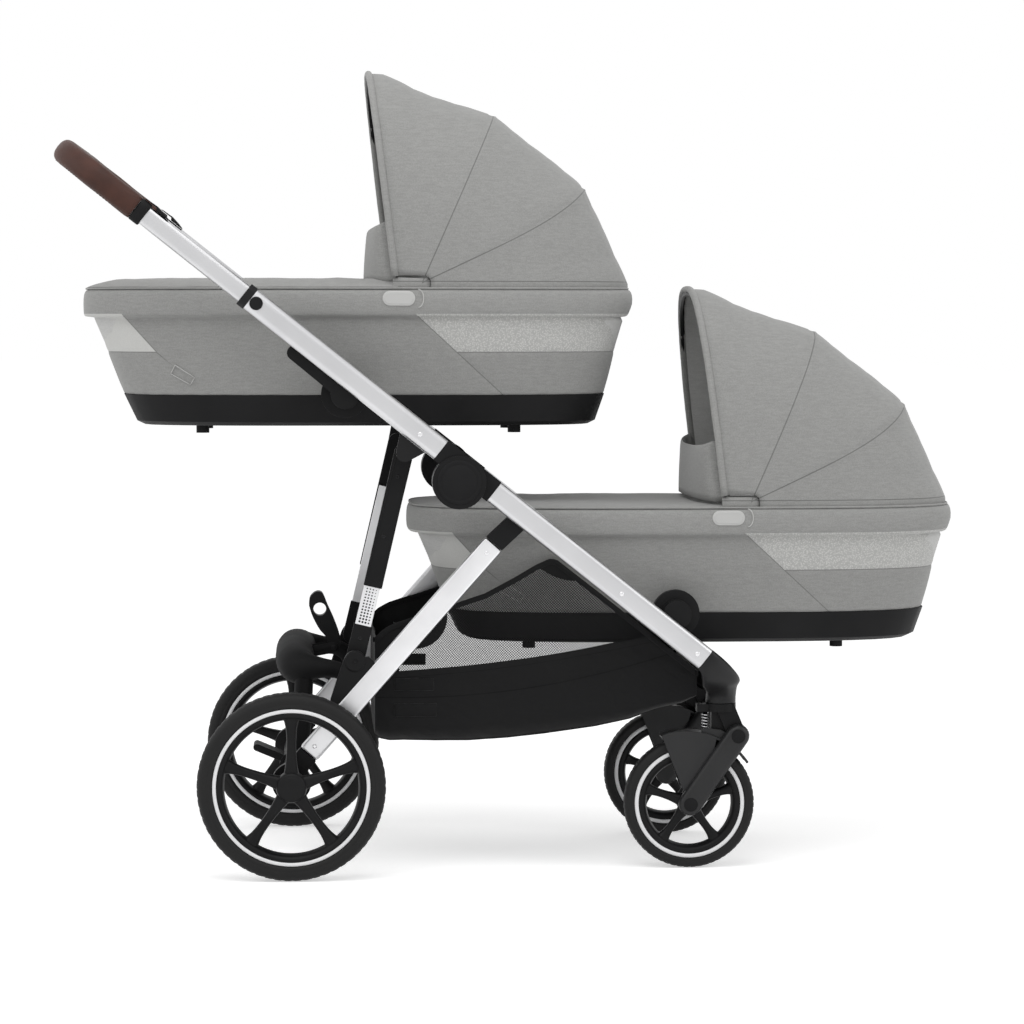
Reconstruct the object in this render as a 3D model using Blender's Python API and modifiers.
# Twin pram: a folding aluminium chassis that carries two carrycots, one above and behind the other.
# Metres, +Z up, +X to the front. Inside this file X is measured from the rear axle, Z from the floor,
# and Y from the middle; an empty at the end shifts the whole pram so that its origin is mid-length.
import math

import bpy
import bmesh
from mathutils import Matrix, Vector

for old in list(bpy.data.objects):
    bpy.data.objects.remove(old, do_unlink=True)

# Driving dimensions: overall
PRAM_NAME = "twin_pram"
REAR_AXLE_X = -0.3434
SEAT_GAP = 0.0003
LANE_GAP = 0.0015

# Driving dimensions: wheels
REAR_WHEEL_RADIUS = 0.1425
REAR_WHEEL_WIDTH = 0.044
REAR_TRACK_HALF = 0.2955
FRONT_AXLE_X = 0.6117
FRONT_WHEEL_RADIUS = 0.1008
FRONT_WHEEL_WIDTH = 0.038
FRONT_TRACK_HALF = 0.189
TYRE_DEPTH_REAR = 0.0245
TYRE_DEPTH_FRONT = 0.0185
RIM_BAND = 0.017
SPOKES = 5
SPOKE_WIDTH = 0.017
AXLE_RADIUS = 0.008
AXLE_CLEARANCE = 0.0004
WHEEL_STEPS = 48
RIM_STEPS = 40

# Driving dimensions: side lanes, measured outwards from the middle plane
COT_HALF_WIDTH = 0.213
STRUT_BAR_THICKNESS = 0.0065
STRUT_SLEEVE_THICKNESS = 0.0095
LEG_THICKNESS = 0.0175
LOWER_TUBE_THICKNESS = 0.0195
UPPER_TUBE_THICKNESS = 0.0215
BAR_LANE = COT_HALF_WIDTH + 0.0025
SLEEVE_LANE = BAR_LANE + STRUT_BAR_THICKNESS + 0.0005
LEG_LANE = SLEEVE_LANE + STRUT_SLEEVE_THICKNESS + LANE_GAP
LOWER_LANE = LEG_LANE + LEG_THICKNESS + LANE_GAP
UPPER_LANE = LOWER_LANE + LOWER_TUBE_THICKNESS + LANE_GAP

# Driving dimensions: frame in side view
HUB = (0.2535, 0.6005)
TUBE_SLOPE = math.radians(-38.5)
TUBE_OFFSET = 0.021
TUBE_HEIGHT = 0.0355
TUBE_WALL = 0.0022
COLLAR_DISTANCE = 0.422
HOUSING_DISTANCE = 0.0515
LOWER_TUBE_END = 0.463
HUB_RADIUS = 0.0405
HANDLE_CLEARANCE = 0.0004
HANDLE_OVERLAP = 0.150
HANDLE_TRAVEL = 0.120
GRIP_START = 0.634
CROSSBAR_DISTANCE = 0.772
CROSSBAR_CORNER = 0.085
GRIP_HEIGHT = 0.039
GRIP_THICKNESS = 0.032
COLLAR_LENGTH = 0.012
COLLAR_LIP = 0.0012
TUBE_BORE_END = COLLAR_DISTANCE - HANDLE_OVERLAP - HANDLE_TRAVEL - 0.032
BUTTON_INSET = 0.017
BUTTON_RADIUS = 0.0100
BUTTON_SUNK = 0.0004
BUTTON_PROUD = 0.0028
TRIGGER_LENGTH = 0.020
TRIGGER_GAP = 0.027
TRIGGER_DISTANCE = GRIP_START - TRIGGER_LENGTH / 2 - TRIGGER_GAP
HUB_PROUD = 0.0035
BRACKET_THICKNESS = 0.008
STRUT_PIN_RADIUS = 0.006
LEG_PIVOT = (0.351, 0.545)
LEG_TOP = (0.3078, 0.5048)
LEG_BOTTOM = (0.0254, 0.1853)
LEG_HEIGHT = 0.0335
NECK_RADIUS = 0.0156
STRUT_TOP = (0.1717, 0.6436)
STRUT_FOOT = (0.0968, 0.3266)
SLEEVE_END = (0.1240, 0.4385)
SLEEVE_HEIGHT = 0.0284
BAR_HEIGHT = 0.0246
BAR_INSERTION = 0.135
FOOT_PLATE_END = (0.078, 0.262)
AXLE_TUBE_RADIUS = 0.014
AXLE_END = 0.3135
HUB_LENGTH_REAR = 0.038
ARCH_FOOT_DISTANCE = 0.1096
ARCH_CENTRE = (0.022, 0.302)
ARCH_RADIUS = 0.027
LATCH_PIVOT = (0.066, 0.327)
LATCH_TIP = (0.0425, 0.402)
LATCH_HALF_WIDTH = 0.0125
LATCH_HEIGHT = 0.024
LATCH_PIN_RADIUS = 0.003
LATCH_EYE_RADIUS = 0.0085
PEDAL_INNER = -0.030
PEDAL_OUTER = 0.030
PEDAL_TIP = (-0.056, 0.170)
STEER_X = 0.661
STEER_RADIUS = 0.0235
ELBOW_BOTTOM = 0.2545
FORK_PIVOT = (0.6848, 0.2058)
FORK_HEIGHT = 0.036
FORK_ARM_THICKNESS = 0.014
FORK_TUBE_RADIUS = 0.0075
FRONT_PIN_RADIUS = 0.005
HUB_LENGTH_FRONT = 0.042
HEAD_DEPTH = 0.0127
CROSSBAR_FRONT = (0.6355, 0.292)
CROSSBAR_RADIUS = 0.0115
GUARD_START = 35
GUARD_END = 113
GUARD_GAP = 0.006
GUARD_WALL = 0.0030
GUARD_PANEL_WALL = 0.0022
SPRING_X = 0.6345
SPRING_RADIUS = 0.0072
SPRING_WIRE = 0.0013
SPRING_CURLS = 5

# Driving dimensions: basket
BASKET_WALL = 0.0020
BASKET_HALF_WIDTH = 0.2112

# Driving dimensions: carrycots. The lower cot is the upper one moved by COT_STEP.
COT_LENGTH = 0.861
COT_CENTRE_X = 0.1076
COT_BOTTOM = 0.6820
COT_STEP = (0.505, -0.336)
RIM_BOTTOM_RISE = 0.168
RIM_TOP_RISE = 0.209
APRON_CROWN = 0.018
TRAY_RISE = 0.047
COT_BASE_LENGTH = 0.722
COT_BASE_HALF_WIDTH = 0.174
COT_SHELL_WALL = 0.006
CANOPY_PIVOT = (0.2021, 0.9)
CANOPY_WALL = 0.0025
RIM_LIP = 0.008
BASE_SHIFT = 0.011
TRAY_FLOOR = 0.004
FOOT_PLACES = (-0.136, 0.346)
FOOT_SPREAD = 0.110
FOOT_RADIUS = 0.010
FOOT_HEIGHT = 0.012
FLAP_END = 0.165
FLAP_HEIGHT = 0.105
FLAP_HALF_WIDTH = 0.184
FLAP_WALL = 0.003
HOOD_HALF_WIDTH = 0.205
HOOD_REACH = 0.331
HOOD_EYE_RADIUS = 0.012
HOOD_SPLIT = 29.7
HOOD_EDGE = 103.0
HOOD_LEAD = 0.037
HOOD_LEAD_START = 66.0
BOW_RADIUS = 0.004
LUG_RADIUS = 0.0245
ADAPTER_RADIUS = 0.0362
UPPER_ADAPTER = (0.0825, 0.7320)
UPPER_ARM_END = (0.006, 0.795)

# Directions along and across the side tubes
ALONG = Vector((math.cos(TUBE_SLOPE), math.sin(TUBE_SLOPE)))
ACROSS = Vector((-math.sin(TUBE_SLOPE), math.cos(TUBE_SLOPE)))
AXLE_Z = REAR_WHEEL_RADIUS
SIDES = (("left", 1), ("right", -1))


def on_tube(distance, offset=TUBE_OFFSET):
    """Side-view point at a distance from the hub along the tubes; negative is towards the handle."""
    point = Vector(HUB) + ALONG * distance + ACROSS * offset
    return (point.x, point.y)


# Collections, materials and bodies
parts = bpy.data.collections.new(PRAM_NAME)
bpy.context.scene.collection.children.link(parts)
cutters = bpy.data.collections.new("cutters")
bpy.context.scene.collection.children.link(cutters)


def make_material(name, colour, roughness, metallic=0.0):
    material = bpy.data.materials.new(name)
    material.use_nodes = True
    shader = material.node_tree.nodes["Principled BSDF"]
    shader.inputs["Base Color"].default_value = (*colour, 1.0)
    shader.inputs["Roughness"].default_value = roughness
    shader.inputs["Metallic"].default_value = metallic
    material.diffuse_color = (*colour, 1.0)
    return material


ALUMINIUM = make_material("satin_aluminium", (0.78, 0.78, 0.79), 0.32, 0.9)
PLASTIC = make_material("black_plastic", (0.018, 0.018, 0.019), 0.45)
RUBBER = make_material("tyre_rubber", (0.016, 0.016, 0.017), 0.75)
STEEL = make_material("spring_steel", (0.55, 0.56, 0.58), 0.3, 1.0)
LEATHER = make_material("grip_leatherette", (0.085, 0.042, 0.030), 0.55)
FABRIC = make_material("grey_fabric", (0.34, 0.34, 0.33), 0.85)
MESH_FABRIC = make_material("basket_fabric", (0.03, 0.03, 0.032), 0.9)

bodies = {}


def make_body(name, pivot, parent=None):
    """An empty on the body's joint axis, held by the empty of the body that carries it."""
    empty = bpy.data.objects.new(name + "_axis", None)
    empty.empty_display_size = 0.03
    cutters.objects.link(empty)
    base = bodies[parent][1] if parent else Vector((0, 0, 0))
    if parent:
        empty.parent = bodies[parent][0]
    empty.location = Vector(pivot) - base
    bodies[name] = (empty, Vector(pivot))


def place(name, mesh, material, body, smooth=35):
    """Makes the named piece from a mesh in pram coordinates, with its origin on its body's axis."""
    empty, pivot = bodies[body]
    mesh.transform(Matrix.Translation(-pivot))
    mesh.name = name
    mesh.materials.clear()
    mesh.materials.append(material)
    mesh.shade_smooth()
    mesh.set_sharp_from_angle(angle=math.radians(smooth))
    piece = bpy.data.objects.new(name, mesh)
    parts.objects.link(piece)
    piece.parent = empty
    return piece


# Shape tools: each returns a mesh in pram coordinates
def finished(piece, weld=0.00001):
    """The evaluated mesh of an object, welded and faced outwards; the object is removed."""
    depsgraph = bpy.context.evaluated_depsgraph_get()
    depsgraph.update()
    mesh = bpy.data.meshes.new_from_object(piece.evaluated_get(depsgraph), depsgraph=depsgraph)
    mesh.transform(piece.matrix_world)
    bpy.data.objects.remove(piece, do_unlink=True)
    shape = bmesh.new()
    shape.from_mesh(mesh)
    bmesh.ops.remove_doubles(shape, verts=shape.verts, dist=weld)
    bmesh.ops.recalc_face_normals(shape, faces=shape.faces)
    shape.to_mesh(mesh)
    shape.free()
    return mesh


def boolean(base, tools, operation):
    """Joins or cuts a mesh with a list of meshes by EXACT Booleans."""
    piece = bpy.data.objects.new("work", base)
    cutters.objects.link(piece)
    helpers = []
    for index, tool in enumerate(tools):
        cutter = bpy.data.objects.new("cutter", tool)
        cutter.hide_render = True
        cutter.display_type = "WIRE"
        cutters.objects.link(cutter)
        step = piece.modifiers.new("boolean%d" % index, "BOOLEAN")
        step.operation = operation
        step.solver = "EXACT"
        step.object = cutter
        helpers.append(cutter)
    mesh = finished(piece)
    for cutter in helpers:
        bpy.data.objects.remove(cutter, do_unlink=True)
    return mesh


def union(base, *tools):
    return boolean(base, tools, "UNION")


def cut(base, *tools):
    return boolean(base, tools, "DIFFERENCE")


def sheet_metal(outline, low, high, side=1, holes=()):
    """A flat side-view outline of (x, z) points, extruded between two distances from the middle."""
    curve = bpy.data.curves.new("outline", "CURVE")
    curve.dimensions = "2D"
    curve.fill_mode = "BOTH"
    curve.extrude = (high - low) / 2
    for loop in (outline, *holes):
        spline = curve.splines.new("POLY")
        spline.points.add(len(loop) - 1)
        for point, (x, z) in zip(spline.points, loop):
            point.co = (x, z, 0, 1)
        spline.use_cyclic_u = True
    piece = bpy.data.objects.new("outline", curve)
    cutters.objects.link(piece)
    turn = Matrix.Rotation(math.radians(90), 4, "X")
    piece.matrix_world = Matrix.Translation((0, side * (low + high) / 2, 0)) @ turn
    mesh = finished(piece)
    bpy.data.curves.remove(curve)
    return mesh


def bevelled(mesh, width, segments=2, angle=40):
    """Rounds a mesh's sharp edges."""
    piece = bpy.data.objects.new("work", mesh)
    cutters.objects.link(piece)
    step = piece.modifiers.new("round", "BEVEL")
    step.width = width
    step.segments = segments
    step.limit_method = "ANGLE"
    step.angle_limit = math.radians(angle)
    return finished(piece)


def arc(centre, radius, start, end, steps):
    """Points on an arc, in degrees from +X towards +Z."""
    points = []
    for index in range(steps + 1):
        angle = math.radians(start + (end - start) * index / steps)
        points.append((centre[0] + radius * math.cos(angle), centre[1] + radius * math.sin(angle)))
    return points


def capsule(first, last, height, round_first=True, round_last=True, steps=8):
    """Outline of a bar in side view, with each end round or square."""
    heading = math.degrees(math.atan2(last[1] - first[1], last[0] - first[0]))
    points = []
    for centre, rounded, turn in ((last, round_last, heading - 90), (first, round_first, heading + 90)):
        count = steps if rounded else 1
        points += arc(centre, height / 2, turn, turn + 180, count)
    return points


def bar(first, last, height, low, high, side, rounds=(True, True), soften=0.0, steps=8):
    mesh = sheet_metal(capsule(first, last, height, *rounds, steps=steps), low, high, side)
    return bevelled(mesh, soften) if soften else mesh


def disc(centre, radius, low, high, side=1, steps=32, soften=0.0):
    mesh = sheet_metal(arc(centre, radius, 0, 360 * (steps - 1) / steps, steps - 1), low, high, side)
    return bevelled(mesh, soften) if soften else mesh


def box(low, high):
    shape = bmesh.new()
    bmesh.ops.create_cube(shape, size=1.0)
    size = Vector(high) - Vector(low)
    bmesh.ops.scale(shape, vec=size, verts=shape.verts)
    bmesh.ops.translate(shape, vec=(Vector(high) + Vector(low)) / 2, verts=shape.verts)
    mesh = bpy.data.meshes.new("box")
    shape.to_mesh(mesh)
    shape.free()
    return mesh


def cylinder(start, end, radius, steps=24):
    """A rod between two points."""
    shape = bmesh.new()
    span = Vector(end) - Vector(start)
    bmesh.ops.create_cone(shape, cap_ends=True, segments=steps, radius1=radius, radius2=radius,
                          depth=span.length)
    turn = span.to_track_quat("Z", "Y").to_matrix().to_4x4()
    bmesh.ops.transform(shape, matrix=Matrix.Translation((Vector(start) + Vector(end)) / 2) @ turn,
                        verts=shape.verts)
    mesh = bpy.data.meshes.new("rod")
    shape.to_mesh(mesh)
    shape.free()
    return mesh


def turned(profile, centre, side=1, steps=WHEEL_STEPS):
    """Turns a closed profile of (radius, offset) points about a wheel axis along Y."""
    shape = bmesh.new()
    corners = [shape.verts.new((radius, 0, offset)) for radius, offset in profile]
    for index in range(len(corners)):
        shape.edges.new((corners[index - 1], corners[index]))
    mesh = bpy.data.meshes.new("profile")
    shape.to_mesh(mesh)
    shape.free()
    piece = bpy.data.objects.new("work", mesh)
    cutters.objects.link(piece)
    screw = piece.modifiers.new("turn", "SCREW")
    screw.steps = steps
    screw.render_steps = steps
    screw.use_merge_vertices = True
    screw.merge_threshold = 0.0001
    half_step = math.radians(90 + 180 / steps)
    piece.matrix_world = (Matrix.Translation(centre) @ Matrix.Rotation(math.radians(-90 * side), 4, "X")
                          @ Matrix.Rotation(half_step, 4, "Z"))
    return finished(piece)


def tube(points, radius, resolution=2):
    """A round rod along points, with filled ends."""
    curve = bpy.data.curves.new("rod", "CURVE")
    curve.dimensions = "3D"
    curve.bevel_depth = radius
    curve.bevel_resolution = resolution
    curve.use_fill_caps = True
    spline = curve.splines.new("POLY")
    spline.points.add(len(points) - 1)
    for point, place_at in zip(spline.points, points):
        point.co = (*place_at, 1)
    piece = bpy.data.objects.new("rod", curve)
    cutters.objects.link(piece)
    mesh = finished(piece)
    bpy.data.curves.remove(curve)
    return mesh


def loft(rings):
    """A skin over equal rings of points; the ends are closed by one face each."""
    shape = bmesh.new()
    rows = [[shape.verts.new(point) for point in ring] for ring in rings]
    count = len(rows[0])
    for lower, upper in zip(rows, rows[1:]):
        for index in range(count):
            after = (index + 1) % count
            shape.faces.new((lower[index], lower[after], upper[after], upper[index]))
    shape.faces.new(rows[0][::-1])
    shape.faces.new(rows[-1])
    bmesh.ops.recalc_face_normals(shape, faces=shape.faces)
    mesh = bpy.data.meshes.new("loft")
    shape.to_mesh(mesh)
    shape.free()
    return mesh


# Bodies, each on its joint's axis
make_body("chassis", (0, 0, 0))
make_body("handle_frame", (HUB[0], 0, HUB[1]), "chassis")
collar = on_tube(-COLLAR_DISTANCE)
make_body("handle", (collar[0], 0, collar[1]), "handle_frame")
make_body("rear_legs", (LEG_PIVOT[0], 0, LEG_PIVOT[1]), "chassis")
make_body("strut_bars", (STRUT_FOOT[0], 0, STRUT_FOOT[1]), "rear_legs")
make_body("strut_sleeves", (STRUT_TOP[0], 0, STRUT_TOP[1]), "handle_frame")
make_body("fold_latch", (LATCH_PIVOT[0], 0, LATCH_PIVOT[1]), "rear_legs")
make_body("brake_pedal", (0, 0, AXLE_Z), "rear_legs")
for label, side in SIDES:
    button = on_tube(-COLLAR_DISTANCE + BUTTON_INSET)
    trigger = on_tube(-TRIGGER_DISTANCE)
    make_body("lock_button_" + label, (button[0], side * UPPER_LANE, button[1]), "handle_frame")
    make_body("fold_trigger_" + label, (trigger[0], side * UPPER_LANE, trigger[1]), "handle")
    make_body("rear_wheel_" + label, (0, side * REAR_TRACK_HALF, AXLE_Z), "rear_legs")
    make_body("caster_" + label, (STEER_X, side * FRONT_TRACK_HALF, ELBOW_BOTTOM), "chassis")
    make_body("fork_" + label, (FORK_PIVOT[0], side * FRONT_TRACK_HALF, FORK_PIVOT[1]), "caster_" + label)
    make_body("front_wheel_" + label, (FRONT_AXLE_X, side * FRONT_TRACK_HALF, FRONT_WHEEL_RADIUS),
              "fork_" + label)
COTS = (("upper", (0.0, 0.0)), ("lower", COT_STEP))
for label, step in COTS:
    carrier = (UPPER_ADAPTER[0] + step[0], 0, UPPER_ADAPTER[1] + step[1])
    hinge = (CANOPY_PIVOT[0] + step[0], 0, CANOPY_PIVOT[1] + step[1])
    make_body(label + "_adapters", carrier, "chassis")
    make_body(label + "_cot", carrier, label + "_adapters")
    make_body(label + "_canopy", hinge, label + "_cot")


# Side tubes: rounded-rectangle tubes that lie in their own lanes
def tube_ring(distance, middle, height, thickness, offset=TUBE_OFFSET, corner=0.45, steps=4):
    """One ring of a side tube's section, at a distance along it; middle is its own distance outwards."""
    radius = min(height, thickness) * corner
    ring = []
    for quarter, (up, out) in enumerate(((1, 1), (-1, 1), (-1, -1), (1, -1))):
        centre_up = up * (height / 2 - radius)
        centre_out = out * (thickness / 2 - radius)
        for index in range(steps + 1):
            angle = math.radians(90 * quarter + 90 * index / steps)
            rise = offset + centre_up + radius * math.cos(angle)
            x, z = on_tube(distance, rise)
            ring.append((x, middle + centre_out + radius * math.sin(angle), z))
    return ring


def side_tube(start, end, lane, height, thickness, side, corner=0.45):
    middle = side * (lane + thickness / 2)
    return loft([tube_ring(distance, middle, height, thickness, corner=corner) for distance in (start, end)])


def strut_bracket(side):
    """The plate under the upper tube that holds the strut's top pin, with the pin itself."""
    low_edge = TUBE_OFFSET - TUBE_HEIGHT / 2 + 0.004
    outline = [on_tube(-0.118, low_edge), on_tube(-0.066, low_edge)] + arc(STRUT_TOP, 0.013, -60, -200, 6)
    plate = sheet_metal(outline, UPPER_LANE, UPPER_LANE + BRACKET_THICKNESS, side)
    pin_low = SLEEVE_LANE + STRUT_SLEEVE_THICKNESS + SEAT_GAP
    return plate, disc(STRUT_TOP, STRUT_PIN_RADIUS, pin_low, UPPER_LANE + BRACKET_THICKNESS / 2, side, 16)


for label, side in SIDES:
    outer = side_tube(-COLLAR_DISTANCE, -HOUSING_DISTANCE - SEAT_GAP, UPPER_LANE, TUBE_HEIGHT,
                      UPPER_TUBE_THICKNESS, side)
    lip = side_tube(-COLLAR_DISTANCE - COLLAR_LENGTH / 2, -COLLAR_DISTANCE + COLLAR_LENGTH / 2,
                    UPPER_LANE - COLLAR_LIP, TUBE_HEIGHT + 2 * COLLAR_LIP,
                    UPPER_TUBE_THICKNESS + 2 * COLLAR_LIP, side)
    bore = side_tube(-COLLAR_DISTANCE - COLLAR_LENGTH, -TUBE_BORE_END, UPPER_LANE + TUBE_WALL,
                     TUBE_HEIGHT - 2 * TUBE_WALL, UPPER_TUBE_THICKNESS - 2 * TUBE_WALL, side)
    outside = UPPER_LANE + UPPER_TUBE_THICKNESS
    button_centre = on_tube(-COLLAR_DISTANCE + BUTTON_INSET)
    seat = disc(button_centre, BUTTON_RADIUS + SEAT_GAP, outside - 2 * TUBE_WALL, outside + 0.004, side, 24)
    upper_tube = cut(union(outer, lip, *strut_bracket(side)), bore, seat)
    place("upper_tube_" + label, upper_tube, ALUMINIUM, "handle_frame")
    place("lock_button_" + label,
          disc(button_centre, BUTTON_RADIUS, outside - BUTTON_SUNK, outside + BUTTON_PROUD, side, 20),
          PLASTIC, "lock_button_" + label)
    lower_tube = side_tube(HOUSING_DISTANCE + SEAT_GAP, LOWER_TUBE_END, LOWER_LANE, TUBE_HEIGHT,
                           LOWER_TUBE_THICKNESS, side)
    place("lower_tube_" + label, lower_tube, ALUMINIUM, "chassis")

# Folding hubs: two black discs side by side, each with a housing on its tube's end
for label, side in SIDES:
    hub_rise = TUBE_HEIGHT + 0.001
    disc_low = disc(HUB, HUB_RADIUS, LOWER_LANE, UPPER_LANE - SEAT_GAP, side, 40)
    arm_low = bar(on_tube(0), on_tube(HOUSING_DISTANCE), hub_rise, LOWER_LANE,
                  LOWER_LANE + LOWER_TUBE_THICKNESS, side, (False, False))
    place("hub_lower_" + label, union(disc_low, arm_low), PLASTIC, "chassis")
    disc_high = disc(HUB, HUB_RADIUS, UPPER_LANE, UPPER_LANE + UPPER_TUBE_THICKNESS + HUB_PROUD, side, 40,
                     0.002)
    arm_high = bar(on_tube(-HOUSING_DISTANCE), on_tube(0), hub_rise, UPPER_LANE,
                   UPPER_LANE + UPPER_TUBE_THICKNESS, side, (False, False))
    place("hub_upper_" + label, union(disc_high, arm_high), PLASTIC, "handle_frame")


# Handle: one tube bent to a U, its legs sliding in the upper tubes, with a leatherette grip
def handle_path(start, end, step_count=6):
    """Stations along the handle: distance, distance from the middle, and the outward direction there."""
    width = UPPER_LANE + UPPER_TUBE_THICKNESS / 2
    stations = [(-start, width, 0.0)]
    corner = (-(end - CROSSBAR_CORNER), width - CROSSBAR_CORNER)
    for index in range(step_count + 1):
        angle = math.pi / 2 * index / step_count
        stations.append((corner[0] - CROSSBAR_CORNER * math.sin(angle),
                         corner[1] + CROSSBAR_CORNER * math.cos(angle), angle))
    mirrored = [(distance, -out, math.pi - angle) for distance, out, angle in reversed(stations)]
    return stations + mirrored


def swept_handle(start, end, height, thickness, steps=2, corner=0.45):
    rings = []
    radius = min(height, thickness) * corner
    for distance, out, angle in handle_path(start, end):
        ring = []
        for quarter, (up, wide) in enumerate(((1, 1), (-1, 1), (-1, -1), (1, -1))):
            for index in range(steps + 1):
                turn = math.radians(90 * quarter + 90 * index / steps)
                rise = TUBE_OFFSET + up * (height / 2 - radius) + radius * math.cos(turn)
                wide_by = wide * (thickness / 2 - radius) + radius * math.sin(turn)
                x, z = on_tube(distance - wide_by * math.sin(angle), rise)
                ring.append((x, out + wide_by * math.cos(angle), z))
        rings.append(ring)
    return loft(rings)


HANDLE_HEIGHT = TUBE_HEIGHT - 2 * (TUBE_WALL + HANDLE_CLEARANCE)
HANDLE_THICKNESS = UPPER_TUBE_THICKNESS - 2 * (TUBE_WALL + HANDLE_CLEARANCE)
place("handle_bar", swept_handle(COLLAR_DISTANCE - HANDLE_OVERLAP, CROSSBAR_DISTANCE, HANDLE_HEIGHT,
                                 HANDLE_THICKNESS), ALUMINIUM, "handle")
grip_core = swept_handle(GRIP_START - 0.02, CROSSBAR_DISTANCE, HANDLE_HEIGHT + 2 * SEAT_GAP,
                         HANDLE_THICKNESS + 2 * SEAT_GAP)
grip_skin = swept_handle(GRIP_START, CROSSBAR_DISTANCE, GRIP_HEIGHT, GRIP_THICKNESS)
place("grip", cut(grip_skin, grip_core), LEATHER, "handle")
for label, side in SIDES:
    middle = side * (UPPER_LANE + UPPER_TUBE_THICKNESS / 2)
    top = TUBE_OFFSET + HANDLE_HEIGHT / 2 + SEAT_GAP
    rings = []
    for distance, rise in ((-TRIGGER_DISTANCE - TRIGGER_LENGTH / 2, 0.006),
                           (-TRIGGER_DISTANCE, 0.0055), (-TRIGGER_DISTANCE + TRIGGER_LENGTH / 2, 0.003)):
        rings.append(tube_ring(distance, middle, rise, HANDLE_THICKNESS * 0.8, offset=top + rise / 2))
    place("fold_trigger_" + label, loft(rings), PLASTIC, "fold_trigger_" + label)

# Struts: a flat bar on the rear leg slides along the inside of a sleeve on the upper tube
bar_tip = Vector(SLEEVE_END) + (Vector(STRUT_TOP) - Vector(SLEEVE_END)).normalized() * BAR_INSERTION
for label, side in SIDES:
    sleeve = bar(STRUT_TOP, SLEEVE_END, SLEEVE_HEIGHT, SLEEVE_LANE, SLEEVE_LANE + STRUT_SLEEVE_THICKNESS,
                 side, (True, False), 0.002)
    place("strut_sleeve_" + label, sleeve, PLASTIC, "strut_sleeves")
    rod = bar(STRUT_FOOT, (bar_tip.x, bar_tip.y), BAR_HEIGHT, BAR_LANE, BAR_LANE + STRUT_BAR_THICKNESS,
              side, (True, False))
    place("strut_bar_" + label, rod, ALUMINIUM, "strut_bars")

# Rear legs: a tube from the pivot bracket down to the axle, with the plate that holds the strut's foot
leg_line = (Vector(LEG_TOP) - Vector(LEG_BOTTOM)).normalized()
for label, side in SIDES:
    leg = bar(LEG_BOTTOM, LEG_TOP, LEG_HEIGHT, LEG_LANE, LEG_LANE + LEG_THICKNESS, side, (False, False), 0.005)
    plate = bar(STRUT_FOOT, FOOT_PLATE_END, 0.029, LEG_LANE + 0.003, LEG_LANE + LEG_THICKNESS - 0.003, side,
                (True, False))
    boss = disc(STRUT_FOOT, 0.0105, BAR_LANE + STRUT_BAR_THICKNESS + SEAT_GAP, LEG_LANE + 0.006, side, 20)
    place("rear_leg_" + label, union(leg, plate, boss), ALUMINIUM, "rear_legs")
    top = Vector(LEG_TOP) + leg_line * SEAT_GAP
    across = Vector((-leg_line.y, leg_line.x)) * NECK_RADIUS
    heading = math.degrees(math.atan2(LEG_PIVOT[1] - top.y, LEG_PIVOT[0] - top.x))
    neck = sheet_metal([(top.x + across.x, top.y + across.y), (top.x - across.x, top.y - across.y)]
                       + arc(LEG_PIVOT, NECK_RADIUS, heading - 90, heading + 90, 10),
                       LEG_LANE, LOWER_LANE - SEAT_GAP, side)
    place("leg_connector_" + label, neck, PLASTIC, "rear_legs")

# Rear axle: a cross tube with a stub and a clamp arm at each end
axle_centre = (0.0, AXLE_Z)
shaft = cylinder((0, -AXLE_END, AXLE_Z), (0, AXLE_END, AXLE_Z), AXLE_RADIUS, 20)
cross = cylinder((0, -LEG_LANE - 0.004, AXLE_Z), (0, LEG_LANE + 0.004, AXLE_Z), AXLE_TUBE_RADIUS, 24)
ends = []
for label, side in SIDES:
    ends.append(disc(axle_centre, 0.030, LEG_LANE, LEG_LANE + LEG_THICKNESS, side, 28))
    low_end = Vector(LEG_BOTTOM) - leg_line * SEAT_GAP
    arm_end = Vector(LEG_BOTTOM) - leg_line * 0.045
    ends.append(bar((low_end.x, low_end.y), (arm_end.x, arm_end.y), LEG_HEIGHT * 0.93, LEG_LANE + 0.0005,
                    LEG_LANE + LEG_THICKNESS - 0.0005, side, (False, False)))
    wheel_face = REAR_TRACK_HALF - HUB_LENGTH_REAR / 2
    ends.append(disc(axle_centre, 0.0125, LEG_LANE + 0.008, wheel_face - SEAT_GAP, side, 24))
place("rear_axle", union(cross, shaft, *ends), PLASTIC, "rear_legs")


def bezier(first, second, third, fourth, steps):
    """Points on a cubic curve, without its first point."""
    points = []
    for index in range(1, steps + 1):
        t = index / steps
        weights = ((1 - t) ** 3, 3 * t * (1 - t) ** 2, 3 * t * t * (1 - t), t ** 3)
        points.append(tuple(sum(w * p[axis] for w, p in zip(weights, (first, second, third, fourth)))
                            for axis in range(3)))
    return points


# Rear arch: the thick cross member between the legs, with two ears that hold the fold latch
arch_foot = Vector(LEG_BOTTOM) + leg_line * ARCH_FOOT_DISTANCE
start = (arch_foot.x, LEG_LANE - SEAT_GAP, arch_foot.y)
square = (arch_foot.x, LEG_LANE - 0.018, arch_foot.y)
shoulder = (ARCH_CENTRE[0], 0.150, ARCH_CENTRE[1])
half = [start, square] + bezier(square, (arch_foot.x, 0.185, arch_foot.y),
                                (ARCH_CENTRE[0], 0.195, ARCH_CENTRE[1]), shoulder, 6)
route = half + [(x, -y, z) for x, y, z in reversed(half)]
arch = tube(route, ARCH_RADIUS, 3)
ears = []
for ear_side in (1, -1):
    ears.append(bar(ARCH_CENTRE, LATCH_PIVOT, 0.017, LATCH_HALF_WIDTH + SEAT_GAP, LATCH_HALF_WIDTH + 0.006,
                    ear_side, (False, True)))
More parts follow.
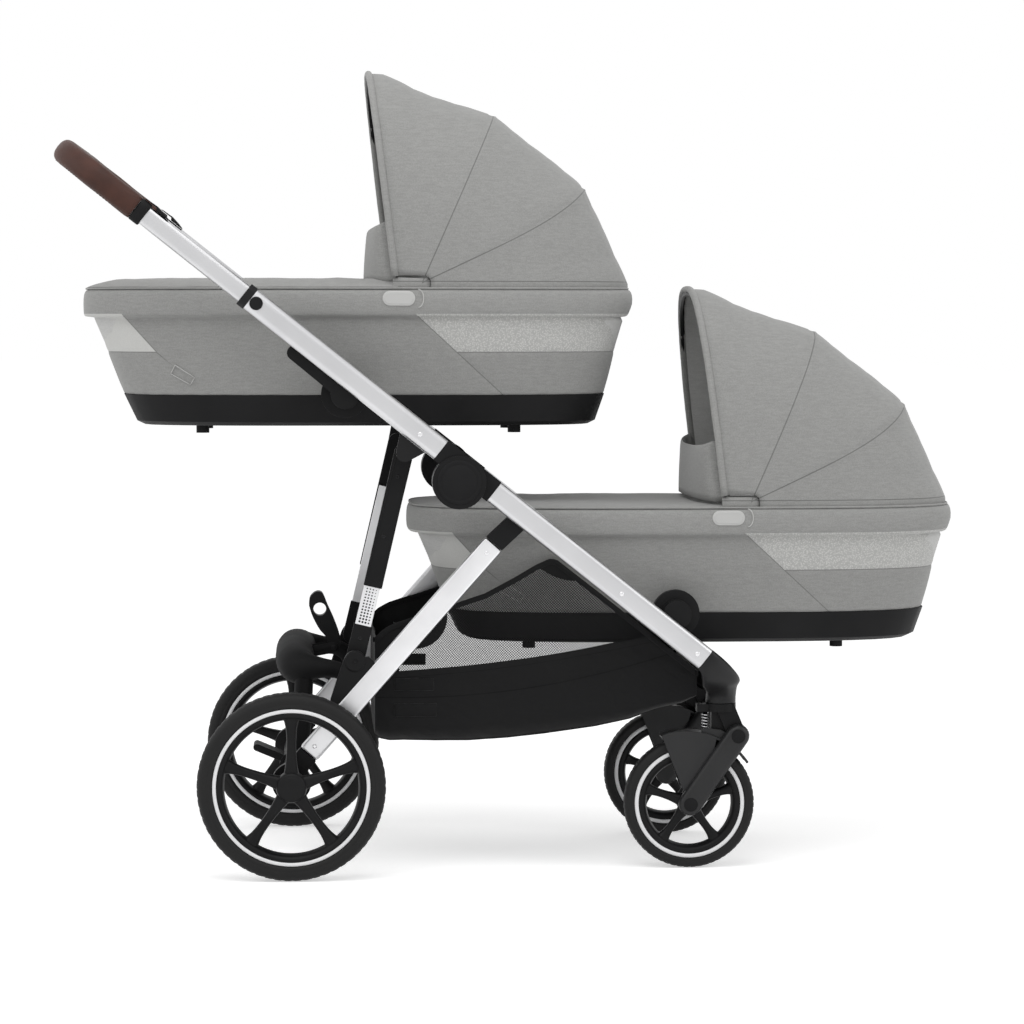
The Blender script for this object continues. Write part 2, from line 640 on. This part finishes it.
latch_pin = cylinder((LATCH_PIVOT[0], -LATCH_HALF_WIDTH - 0.003, LATCH_PIVOT[1]),
                     (LATCH_PIVOT[0], LATCH_HALF_WIDTH + 0.003, LATCH_PIVOT[1]), LATCH_PIN_RADIUS, 16)
place("rear_arch", union(arch, *ears, latch_pin), PLASTIC, "rear_legs")

# Fold latch: a flat hook with a round eye, turning on the pin between the ears
latch_line = (Vector(LATCH_TIP) - Vector(LATCH_PIVOT)).normalized()
eye = Vector(LATCH_TIP) - latch_line * 0.014
tongue = sheet_metal(capsule(LATCH_PIVOT, (eye.x, eye.y), LATCH_HEIGHT), -LATCH_HALF_WIDTH, LATCH_HALF_WIDTH)
pin_hole = disc(LATCH_PIVOT, LATCH_PIN_RADIUS + AXLE_CLEARANCE, -0.05, 0.05, 1, 16)
eye_hole = disc((eye.x, eye.y), LATCH_EYE_RADIUS, -0.05, 0.05, 1, 20)
place("fold_latch", cut(tongue, pin_hole, eye_hole), PLASTIC, "fold_latch")

# Brake pedal: a sleeve on the axle tube with a foot plate behind it
pedal_bore = disc(axle_centre, AXLE_TUBE_RADIUS + AXLE_CLEARANCE, PEDAL_INNER - 0.01, PEDAL_OUTER + 0.01, 1, 24)
pedal_ring = disc(axle_centre, AXLE_TUBE_RADIUS + 0.006, PEDAL_INNER, PEDAL_OUTER, 1, 24)
pedal_plate = bar((-0.012, AXLE_Z + 0.009), PEDAL_TIP, 0.011, PEDAL_INNER + 0.002, PEDAL_OUTER - 0.002, 1,
                  (False, True))
place("brake_pedal", cut(union(pedal_ring, pedal_plate), pedal_bore), PLASTIC, "brake_pedal")


# Wheels: a tyre seated on a five-spoke rim with a bored hub
def tyre(radius, width, depth, centre, side):
    stretch = 1 / math.cos(math.pi / WHEEL_STEPS)
    half = width / 2
    profile = [(radius, 0.5 * half), (radius - 0.005, 0.88 * half), (radius - depth, 0.9 * half)]
    profile += [(r, -offset) for r, offset in reversed(profile)]
    return turned([(r * stretch, offset) for r, offset in profile], centre, side)


def rim(radius, width, hub_radius, hub_length, bore, centre, side):
    half = width / 2
    inner = radius - RIM_BAND
    profile = [(radius, half), (inner, 0.85 * half), (inner, -0.85 * half), (radius, -half)]
    band = turned(profile, centre, side, RIM_STEPS)
    middle = abs(centre[1])
    pieces = [disc((centre[0], centre[2]), hub_radius, middle - hub_length / 2, middle + hub_length / 2,
                   side, 24)]
    for index in range(SPOKES):
        angle = math.radians(90 + 360 * index / SPOKES)
        reach = inner + 0.005
        far = (centre[0] + reach * math.cos(angle), centre[2] + reach * math.sin(angle))
        pieces.append(bar((centre[0], centre[2]), far, SPOKE_WIDTH * radius / REAR_WHEEL_RADIUS * 1.15,
                          middle - 0.4 * half, middle + 0.5 * half, side, (False, False)))
    hole = disc((centre[0], centre[2]), bore, middle - hub_length, middle + hub_length, side, 20)
    return cut(union(band, *pieces), hole)


for label, side in SIDES:
    centre = (0, side * REAR_TRACK_HALF, AXLE_Z)
    place("rear_tyre_" + label, tyre(REAR_WHEEL_RADIUS, REAR_WHEEL_WIDTH, TYRE_DEPTH_REAR, centre, side),
          RUBBER, "rear_wheel_" + label)
    place("rear_rim_" + label,
          rim(REAR_WHEEL_RADIUS - TYRE_DEPTH_REAR - SEAT_GAP, REAR_WHEEL_WIDTH - 0.008, 0.0225, HUB_LENGTH_REAR,
              AXLE_RADIUS + AXLE_CLEARANCE, centre, side), PLASTIC, "rear_wheel_" + label)

# Front wheels with their forks, springs and casters
for label, side in SIDES:
    track = FRONT_TRACK_HALF
    centre = (FRONT_AXLE_X, side * track, FRONT_WHEEL_RADIUS)
    axle_at = (FRONT_AXLE_X, FRONT_WHEEL_RADIUS)
    place("front_tyre_" + label, tyre(FRONT_WHEEL_RADIUS, FRONT_WHEEL_WIDTH, TYRE_DEPTH_FRONT, centre, side),
          RUBBER, "front_wheel_" + label)
    place("front_rim_" + label,
          rim(FRONT_WHEEL_RADIUS - TYRE_DEPTH_FRONT - SEAT_GAP, FRONT_WHEEL_WIDTH - 0.008, 0.0165,
              HUB_LENGTH_FRONT, FRONT_PIN_RADIUS + AXLE_CLEARANCE, centre, side), PLASTIC,
          "front_wheel_" + label)

    arm_gap = FRONT_WHEEL_WIDTH / 2 + 0.0025
    outer_low, outer_high = track + arm_gap, track + arm_gap + FORK_ARM_THICKNESS
    inner_low, inner_high = track - arm_gap - FORK_ARM_THICKNESS, track - arm_gap
    outer_arm = bar(FORK_PIVOT, axle_at, FORK_HEIGHT, outer_low, outer_high, side)
    inner_arm = bar(FORK_PIVOT, axle_at, FORK_HEIGHT, inner_low, inner_high, side)
    pivot_tube = disc(FORK_PIVOT, FORK_TUBE_RADIUS, inner_low + 0.004, outer_high - 0.004, side, 20)
    wheel_pin = disc(axle_at, FRONT_PIN_RADIUS, inner_low + 0.004, outer_high - 0.004, side, 20)
    guard_inner = FRONT_WHEEL_RADIUS + GUARD_GAP
    guard_outer = guard_inner + GUARD_WALL
    band = arc(axle_at, guard_outer, GUARD_START, GUARD_END, 14) + arc(axle_at, guard_inner, GUARD_END,
                                                                      GUARD_START, 14)
    guard = sheet_metal(band, inner_high - 0.002, outer_low + 0.002, side)
    flank = [(0.5680, 0.2063), (0.5774, 0.2098), (0.5892, 0.2121), (0.6081, 0.2127), (0.6223, 0.2119),
             (0.6389, 0.2090), (0.6531, 0.2034), (0.6400, 0.1400), (0.6100, 0.1120), (0.5989, 0.1257),
             (0.5918, 0.1459), (0.5799, 0.1743)]
    panel = sheet_metal(flank[::-1], outer_low + 0.0003, outer_low + 0.0003 + GUARD_PANEL_WALL, side)
    place("fork_arm_" + label, union(outer_arm, inner_arm, pivot_tube, wheel_pin, guard, panel), PLASTIC,
          "fork_" + label)

    head_top = ELBOW_BOTTOM - SEAT_GAP
    head = cylinder((STEER_X, side * track, head_top - HEAD_DEPTH), (STEER_X, side * track, head_top),
                    STEER_RADIUS, 28)
    tab = box((SPRING_X - SPRING_RADIUS - 0.004, side * track - 0.0115, head_top - HEAD_DEPTH),
              (STEER_X, side * track + 0.0115, head_top - 0.001))
    lug_low, lug_high = inner_high + 0.004, outer_low - 0.004
    lug = sheet_metal(capsule((STEER_X + 0.006, head_top - 0.006), FORK_PIVOT, 0.028, False, True),
                      lug_low, lug_high, side)
    lug_bore = disc(FORK_PIVOT, FORK_TUBE_RADIUS + AXLE_CLEARANCE, lug_low - 0.01, lug_high + 0.01, side, 20)
    place("swivel_head_" + label, cut(union(head, tab, lug), lug_bore), PLASTIC, "caster_" + label)

    reach = SPRING_X - SPRING_RADIUS - SPRING_WIRE - FRONT_AXLE_X
    spring_low = FRONT_WHEEL_RADIUS + math.sqrt(guard_outer ** 2 - reach ** 2) + SPRING_WIRE + 2 * SEAT_GAP
    spring_high = head_top - HEAD_DEPTH - SPRING_WIRE - SEAT_GAP
    coil = []
    for index in range(SPRING_CURLS * 10 + 1):
        turn = 2 * math.pi * index / 10
        height = spring_low + (spring_high - spring_low) * index / (SPRING_CURLS * 10)
        coil.append((SPRING_X + SPRING_RADIUS * math.cos(turn), side * track + SPRING_RADIUS * math.sin(turn),
                     height))
    place("spring_" + label, tube(coil, SPRING_WIRE, 1), STEEL, "caster_" + label, 60)
    if side == 1:
        gaps = [(Vector(first) - Vector(second)).length for place_one, first in enumerate(coil)
                for place_two, second in enumerate(coil) if place_two >= place_one + 6]
        print("spring: least gap between curls %.2f mm" % ((min(gaps) - 2 * SPRING_WIRE) * 1000))

# Front elbows: castings that turn each lower tube down and inwards onto its caster
for label, side in SIDES:
    shell_out = LOWER_LANE + LOWER_TUBE_THICKNESS
    inner_face = FRONT_TRACK_HALF - STEER_RADIUS
    collar_high = on_tube(LOWER_TUBE_END + SEAT_GAP, TUBE_OFFSET + TUBE_HEIGHT / 2)
    collar_low = on_tube(LOWER_TUBE_END + SEAT_GAP, TUBE_OFFSET - TUBE_HEIGHT / 2)
    nose = [(0.668, 0.3185), (0.680, 0.3020), (0.6865, 0.2925), (0.6825, 0.2825)]
    socket = [collar_low, collar_high] + nose + [(0.6420, 0.2825)]
    bridge = [(0.6262, 0.2950), (0.6350, 0.3180)] + nose + [(0.6360, 0.2780)]
    foot = [(0.6365, 0.2880), (0.6835, 0.2900), (0.6835, ELBOW_BOTTOM), (0.6380, ELBOW_BOTTOM)]
    pieces = [bevelled(sheet_metal(outline, low, high, side), 0.003)
              for outline, low, high in ((socket, BASKET_HALF_WIDTH + 0.0005, shell_out),
                                         (bridge, inner_face, shell_out - 0.008),
                                         (foot, inner_face, FRONT_TRACK_HALF + STEER_RADIUS))]
    place("front_elbow_" + label, union(*pieces), PLASTIC, "chassis")
cross_end = FRONT_TRACK_HALF - STEER_RADIUS - SEAT_GAP
place("front_crossbar", cylinder((CROSSBAR_FRONT[0], -cross_end, CROSSBAR_FRONT[1]),
                                 (CROSSBAR_FRONT[0], cross_end, CROSSBAR_FRONT[1]), CROSSBAR_RADIUS, 24),
      ALUMINIUM, "chassis")

# Basket: an open tub of net and fabric between the side tubes
basket_front = CROSSBAR_FRONT[0] - CROSSBAR_RADIUS - SEAT_GAP
rim_line = [(0.126, 0.383), (0.160, 0.402), (0.207, 0.414), (0.261, 0.415), (0.308, 0.431), (0.355, 0.458),
            (0.400, 0.483), (0.480, 0.421), (0.560, 0.357), (basket_front, 0.306)]
floor_line = [(basket_front, 0.278), (0.600, 0.262), (0.563, 0.246), (0.516, 0.229), (0.465, 0.219),
              (0.3475, 0.206), (0.250, 0.198), (0.165, 0.199), (0.134, 0.212)]
tub = sheet_metal(rim_line + floor_line, -BASKET_HALF_WIDTH, BASKET_HALF_WIDTH)
inner_floor = [(min(max(x, 0.126 + BASKET_WALL), basket_front - BASKET_WALL), z + BASKET_WALL)
               for x, z in floor_line]
space = sheet_metal([(0.126 + BASKET_WALL, 0.60), (basket_front - BASKET_WALL, 0.60)] + inner_floor,
                    BASKET_WALL - BASKET_HALF_WIDTH, BASKET_HALF_WIDTH - BASKET_WALL)
place("basket", cut(tub, space), MESH_FABRIC, "chassis")


# Carrycots
def plan_ring(middle_x, half_length, half_width, height, power=3.4, count=32):
    """A rounded rectangle seen from above: a superellipse ring at one height."""
    ring = []
    for index in range(count):
        angle = 2 * math.pi * index / count
        across = math.copysign(abs(math.cos(angle)) ** (2 / power), math.cos(angle))
        aside = math.copysign(abs(math.sin(angle)) ** (2 / power), math.sin(angle))
        ring.append((middle_x + half_length * across, half_width * aside, height))
    return ring


def cot_ring(rise, step, inset=0.0, grow=0.0):
    """The cot's outline at a height above its base; the base sits a little forward of the rim."""
    share = min(rise / RIM_BOTTOM_RISE, 1.0)
    half_length = COT_BASE_LENGTH / 2 + (COT_LENGTH / 2 - RIM_LIP - COT_BASE_LENGTH / 2) * share
    half_width = COT_BASE_HALF_WIDTH + (COT_HALF_WIDTH - RIM_LIP - COT_BASE_HALF_WIDTH) * share
    middle = COT_CENTRE_X + BASE_SHIFT * (1 - share)
    return plan_ring(middle + step[0], half_length + grow - inset, half_width + grow - inset,
                     COT_BOTTOM + rise + step[1])


def canopy_radius(angle):
    """The hood's reach from its pivot at an angle above the front end of the rim, in degrees."""
    stations = ((-2, 1.0), (8, 0.9426), (19, 0.9094), (30, 0.9094), (48, 0.8822), (66, 0.8731), (79, 0.8927),
                (92, 0.9396), (104, 1.0091))
    for (low, first), (high, second) in zip(stations, stations[1:]):
        if angle <= high:
            return HOOD_REACH * (first + (second - first) * max(angle - low, 0) / (high - low))
    return HOOD_REACH * stations[-1][1]


def hood_row(angle, step, inset, power=2.9, count=16):
    """One bow of the hood: half a superellipse over the pivot line, at that angle. The front rows stand
    ahead of the pivot at their feet, so that the hood's open edge runs down to the wind flap."""
    reach = canopy_radius(angle) - inset
    half = HOOD_HALF_WIDTH - inset
    lead = HOOD_LEAD * max(angle - HOOD_LEAD_START, 0) / (HOOD_EDGE - HOOD_LEAD_START)
    row = []
    for index in range(count + 1):
        turn = math.pi * index / count
        out = math.copysign(abs(math.cos(turn)) ** (2 / power), math.cos(turn)) * half
        far = max(abs(math.sin(turn)) ** (2 / power) * reach, HOOD_EYE_RADIUS)
        ahead = lead * (1 - far / reach)
        row.append((CANOPY_PIVOT[0] + step[0] + far * math.cos(math.radians(angle)) - ahead, out,
                    CANOPY_PIVOT[1] + step[1] + far * math.sin(math.radians(angle))))
    return row


def hood_shell(angles, step, floor=None):
    """A curved wedge of hood through the given bow angles, as a closed shell of one thickness."""
    shape = bmesh.new()
    layers = []
    for inset in (0.0, CANOPY_WALL):
        rows = [hood_row(angle, step, inset) for angle in angles]
        if floor is not None:
            rows.insert(0, [(x, y, floor) for x, y, z in rows[0]])
        layers.append([[shape.verts.new(point) for point in row] for row in rows])
    outer, inner = layers
    last = len(outer[0]) - 1
    for layer in layers:
        for one, two in zip(layer, layer[1:]):
            for index in range(last):
                shape.faces.new((one[index], one[index + 1], two[index + 1], two[index]))
    for edge in (0, -1):
        for index in range(last):
            shape.faces.new((outer[edge][index], outer[edge][index + 1], inner[edge][index + 1],
                             inner[edge][index]))
    for index in range(len(outer) - 1):
        for end in (0, last):
            shape.faces.new((outer[index][end], outer[index + 1][end], inner[index + 1][end],
                             inner[index][end]))
    bmesh.ops.recalc_face_normals(shape, faces=shape.faces)
    mesh = bpy.data.meshes.new("hood")
    shape.to_mesh(mesh)
    shape.free()
    return mesh


def wind_flap(step, low):
    """The standing collar at the apron's open end: a curved strip, higher at its sides."""
    rings = []
    for index in range(15):
        turn = -math.pi / 2 + math.pi * index / 14
        bow = max(math.cos(turn), 0.0) ** 0.6
        aside = FLAP_HALF_WIDTH * math.sin(turn)
        foot = Vector((FLAP_END - 0.001 - 0.048 * bow + step[0], aside, low + 0.0085 + 0.0065 * bow))
        head = Vector((FLAP_END - 0.019 - 0.024 * bow + step[0], aside * 0.95,
                       low + FLAP_HEIGHT - 0.011 * bow))
        ring = [foot, head, head - Vector((FLAP_WALL, 0, 0)), foot - Vector((FLAP_WALL, 0, 0))]
        rings.append([tuple(point) for point in ring])
    return loft(rings)


for label, step in COTS:
    name = label + "_cot"
    seat = (UPPER_ADAPTER[0] + step[0], UPPER_ADAPTER[1] + step[1])
    floor = COT_BOTTOM + step[1]

    outside = loft([cot_ring(0.0, step, 0.012), cot_ring(0.006, step, 0.002), cot_ring(TRAY_RISE, step)])
    inside = loft([cot_ring(TRAY_FLOOR, step, TRAY_FLOOR + 0.010), cot_ring(0.010, step, TRAY_FLOOR + 0.0005),
                   cot_ring(TRAY_RISE + 0.05, step, TRAY_FLOOR)])
    extras = []
    for side_label, side in SIDES:
        extras.append(disc(seat, LUG_RADIUS, COT_BASE_HALF_WIDTH - 0.002, BAR_LANE - SEAT_GAP, side, 24))
        for foot_x in FOOT_PLACES:
            foot = (foot_x + step[0], side * FOOT_SPREAD)
            extras.append(cylinder((*foot, floor - FOOT_HEIGHT), (*foot, floor + 0.003), FOOT_RADIUS, 16))
    place(label + "_tray", cut(union(outside, *extras), inside), PLASTIC, name)

    rise = TRAY_RISE + SEAT_GAP
    body = loft([cot_ring(rise, step), cot_ring(0.11, step), cot_ring(RIM_BOTTOM_RISE, step),
                 cot_ring(RIM_BOTTOM_RISE + 0.004, step, grow=RIM_LIP),
                 cot_ring(RIM_TOP_RISE - 0.008, step, grow=RIM_LIP),
                 cot_ring(RIM_TOP_RISE, step, grow=RIM_LIP - 0.006)])
    hollow = loft([cot_ring(rise - 0.01, step, COT_SHELL_WALL), cot_ring(RIM_BOTTOM_RISE, step, COT_SHELL_WALL),
                   cot_ring(RIM_TOP_RISE + 0.01, step, COT_SHELL_WALL)])
    recess = [disc(seat, LUG_RADIUS + SEAT_GAP, COT_BASE_HALF_WIDTH - 0.03, BAR_LANE, side, 24)
              for _, side in SIDES]
    place(label + "_shell", cut(body, hollow, *recess), FABRIC, name)

    low = floor + RIM_TOP_RISE + SEAT_GAP
    middle = COT_CENTRE_X + step[0]
    crown = ((0.006, 0.0), (0.010, 0.007), (0.036, 0.013), (0.106, APRON_CROWN))
    dome = loft([plan_ring(middle, COT_LENGTH / 2 - inset, COT_HALF_WIDTH - inset, low + height)
                 for inset, height in crown])
    under = loft([plan_ring(middle, COT_LENGTH / 2 - inset - 0.004, COT_HALF_WIDTH - inset - 0.004,
                            low + height - 0.003) for inset, height in crown])
    clear = box((FLAP_END + step[0], -0.3, low - 0.02), (FLAP_END + step[0] + 0.6, 0.3, low + 0.1))
    place(label + "_apron", union(cut(dome, under, clear), wind_flap(step, low)), FABRIC, name)

    rear_angles = [index * (HOOD_SPLIT - 0.15) / 3 for index in range(4)]
    front_angles = [HOOD_SPLIT + 0.15 + index * (HOOD_EDGE - HOOD_SPLIT - 0.15) / 8 for index in range(9)]
    place(label + "_hood_rear", hood_shell(rear_angles, step, low), FABRIC, name)
    place(label + "_hood_front", hood_shell(front_angles, step), FABRIC, label + "_canopy")
    ahead = BOW_RADIUS + 2 * SEAT_GAP
    edge = math.radians(HOOD_EDGE)
    bow = [(x - ahead * math.sin(edge), y, z + ahead * math.cos(edge))
           for x, y, z in hood_row(HOOD_EDGE, step, 0.0, count=20)]
    place(label + "_bow", tube(bow, BOW_RADIUS, 1), PLASTIC, label + "_canopy")

# Adapters: a disc between each cot's lug and the side tube, with a ledge that the lug stands on
for label, step in COTS:
    seat = (UPPER_ADAPTER[0] + step[0], UPPER_ADAPTER[1] + step[1])
    tube_lane = UPPER_LANE if label == "upper" else LOWER_LANE
    for side_label, side in SIDES:
        plate = disc(seat, ADAPTER_RADIUS, BAR_LANE, BAR_LANE + 0.016, side, 32)
        stem = disc(seat, ADAPTER_RADIUS * 0.6, BAR_LANE + 0.008, tube_lane - SEAT_GAP, side, 24)
        ledge_top = seat[1] - LUG_RADIUS - SEAT_GAP
        ledge = sheet_metal([(seat[0] - 0.018, ledge_top - 0.006), (seat[0] + 0.018, ledge_top - 0.006),
                             (seat[0] + 0.018, ledge_top), (seat[0] - 0.018, ledge_top)],
                            BAR_LANE - 0.016, BAR_LANE + 0.008, side)
        pieces = [plate, stem, ledge]
        if label == "upper":
            pieces.append(bar(UPPER_ARM_END, seat, 0.022, LEG_LANE, tube_lane - SEAT_GAP, side))
        place(label + "_adapter_" + side_label, union(*pieces), PLASTIC, label + "_adapters")

# The pram stands with its origin on the floor at mid-length
stand = bpy.data.objects.new("pram_origin", None)
cutters.objects.link(stand)
stand.location = (REAR_AXLE_X, 0, 0)
bodies["chassis"][0].parent = stand
bpy.context.view_layer.update()
